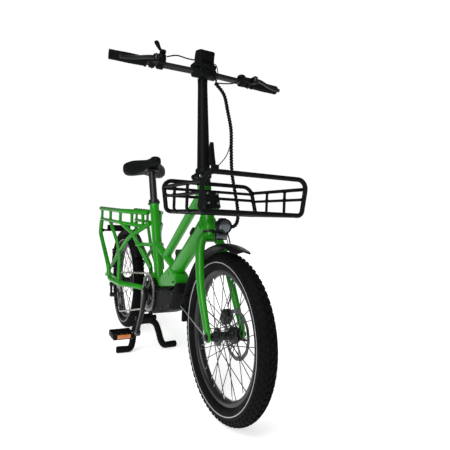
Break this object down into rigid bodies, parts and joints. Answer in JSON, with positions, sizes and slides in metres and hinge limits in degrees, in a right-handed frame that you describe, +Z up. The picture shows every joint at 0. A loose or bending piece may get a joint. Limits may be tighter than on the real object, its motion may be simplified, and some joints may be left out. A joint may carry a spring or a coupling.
{
  "type": "cargo bicycle",
  "caption": "Compact longtail cargo bicycle with a mid-drive motor, a tray rack on the head tube, a folding handlepost, an integrated rear rack and a centre stand.",
  "frame": {"origin": "on the ground under the middle of the whole bicycle", "axes": "+X forward, +Y to the rider's left, +Z up"},
  "size_m": [1.7292, 0.662, 1.222],
  "materials": {
    "green": "gloss",
    "black_metal": "satin",
    "rubber": "matte",
    "plastic": "satin",
    "steel": "satin",
    "lens": "gloss",
    "red_lens": "gloss",
    "grip_rubber": "matte",
    "saddle_cover": "matte",
    "alloy": "satin"
  },
  "bodies": {
    "frame": {"main_frame": "green", "rack_side_right": "green", "rack_side_left": "green", "outer_loop_right": "green", "outer_loop_left": "green", "rear_truss_right": "green", "rear_truss_left": "green", "chainstay_right": "green", "chainstay_left": "green", "seat_tube_bridge": "green", "rack_crossbar": "green", "seat_clamp": "black_metal", "motor": "plastic", "kickstand_bracket": "black_metal", "rear_mudguard": "plastic", "tail_light": "red_lens", "rear_caliper": "black_metal", "derailleur_body": "black_metal", "chain": "steel", "basket_base": "black_metal", "basket_front_hoop": "black_metal", "basket_rear_hoop": "black_metal", "basket_side_right": "black_metal", "basket_side_left": "black_metal", "basket_bracket": "black_metal", "cable_bundle": "plastic"},
    "steering": {"fork": "green", "front_mudguard": "plastic", "headlamp": "lens", "front_caliper": "black_metal", "stem_base": "black_metal"},
    "handlepost": {"handlepost": "black_metal", "display_head": "plastic", "handlebar": "black_metal", "grip_right": "grip_rubber", "grip_left": "grip_rubber", "controls_right": "plastic", "controls_left": "plastic", "shift_cable": "plastic", "left_hose": "plastic"},
    "latch": {"latch_lever": "black_metal"},
    "brake_right": {"brake_lever_right": "black_metal"},
    "brake_left": {"brake_lever_left": "black_metal"},
    "shifter": {"shift_lever": "plastic"},
    "front_wheel": {"front_tyre": "rubber", "front_rim": "alloy", "front_hub": "alloy"},
    "rear_wheel": {"rear_tyre": "rubber", "rear_rim": "alloy", "rear_hub": "alloy"},
    "sprockets": {"cassette": "steel"},
    "cranks": {"crank_right": "alloy", "crank_left": "alloy"},
    "pedal_r": {"pedal_right": "plastic"},
    "pedal_l": {"pedal_left": "plastic"},
    "cage": {"derailleur_cage": "black_metal"},
    "seat": {"seatpost": "black_metal", "saddle": "saddle_cover"},
    "seat_lever": {"seat_clamp_lever": "black_metal"},
    "stand": {"kickstand": "black_metal"}
  },
  "joints": [
    {"name": "steering", "type": "hinge", "parent": "frame", "child": "steering", "pos_m": [0.4605, 0, 0.576], "axis": [-0.3173, 0, 0.9483], "range_deg": [-40, 40], "deforming": ["cable_bundle"]},
    {"name": "handlepost_fold", "type": "hinge", "parent": "steering", "child": "handlepost", "pos_m": [0.3965, -0.024, 0.765], "axis": [1, 0, 0], "range_deg": [0, 90], "deforming": ["cable_bundle"]},
    {"name": "latch_open", "type": "hinge", "parent": "handlepost", "child": "latch", "pos_m": [0.4385, 0.023, 0.786], "axis": [0, 1, 0], "range_deg": [0, 90]},
    {"name": "brake_lever_right", "type": "hinge", "parent": "handlepost", "child": "brake_right", "pos_m": [0.41094, -0.19, 1.13901], "axis": [0, 0, -1], "range_deg": [0, 14], "stiffness_Nm_per_rad": 0.8},
    {"name": "brake_lever_left", "type": "hinge", "parent": "handlepost", "child": "brake_left", "pos_m": [0.41094, 0.19, 1.13901], "axis": [0, 0, 1], "range_deg": [0, 14], "stiffness_Nm_per_rad": 0.8},
    {"name": "shift_lever", "type": "hinge", "parent": "handlepost", "child": "shifter", "pos_m": [0.3715, -0.156, 1.178], "axis": [0, 0, 1], "range_deg": [0, 25], "stiffness_Nm_per_rad": 0.4},
    {"name": "front_wheel_spin", "type": "hinge", "parent": "steering", "child": "front_wheel", "pos_m": [0.6045, 0, 0.26], "axis": [0, 1, 0], "continuous": true},
    {"name": "rear_wheel_spin", "type": "hinge", "parent": "frame", "child": "rear_wheel", "pos_m": [-0.5815, 0, 0.26], "axis": [0, 1, 0], "continuous": true},
    {"name": "crank_spin", "type": "hinge", "parent": "frame", "child": "cranks", "pos_m": [-0.0385, 0, 0.289], "axis": [0, 1, 0], "continuous": true},
    {"name": "sprocket_spin", "type": "hinge", "parent": "frame", "child": "sprockets", "pos_m": [-0.5815, 0, 0.26], "axis": [0, 1, 0], "continuous": true},
    {"name": "pedal_right_spin", "type": "hinge", "parent": "cranks", "child": "pedal_r", "pos_m": [-0.01278, -0.165, 0.11893], "axis": [0, 1, 0], "continuous": true},
    {"name": "pedal_left_spin", "type": "hinge", "parent": "cranks", "child": "pedal_l", "pos_m": [-0.06422, 0.165, 0.45907], "axis": [0, 1, 0], "continuous": true},
    {"name": "derailleur_cage", "type": "hinge", "parent": "frame", "child": "cage", "pos_m": [-0.5615, -0.0475, 0.185], "axis": [0, 1, 0], "range_deg": [-12, 12], "stiffness_Nm_per_rad": 1, "deforming": ["chain"]},
    {"name": "seatpost_slide", "type": "slide", "parent": "frame", "child": "seat", "axis": [-0.3181, 0, 0.9481], "range_m": [-0.08, 0.1]},
    {"name": "seat_clamp_lever", "type": "hinge", "parent": "frame", "child": "seat_lever", "pos_m": [-0.1895, 0.0172, 0.6865], "axis": [0, 0, -1], "range_deg": [0, 60]},
    {"name": "kickstand_fold", "type": "hinge", "parent": "frame", "child": "stand", "pos_m": [-0.1615, -0.015, 0.142], "axis": [0, 1, 0], "range_deg": [0, 80]}
  ],
  "couplings": [
    {"joint": "sprocket_spin", "follows": "crank_spin", "ratio": 1.8182}
  ]
}
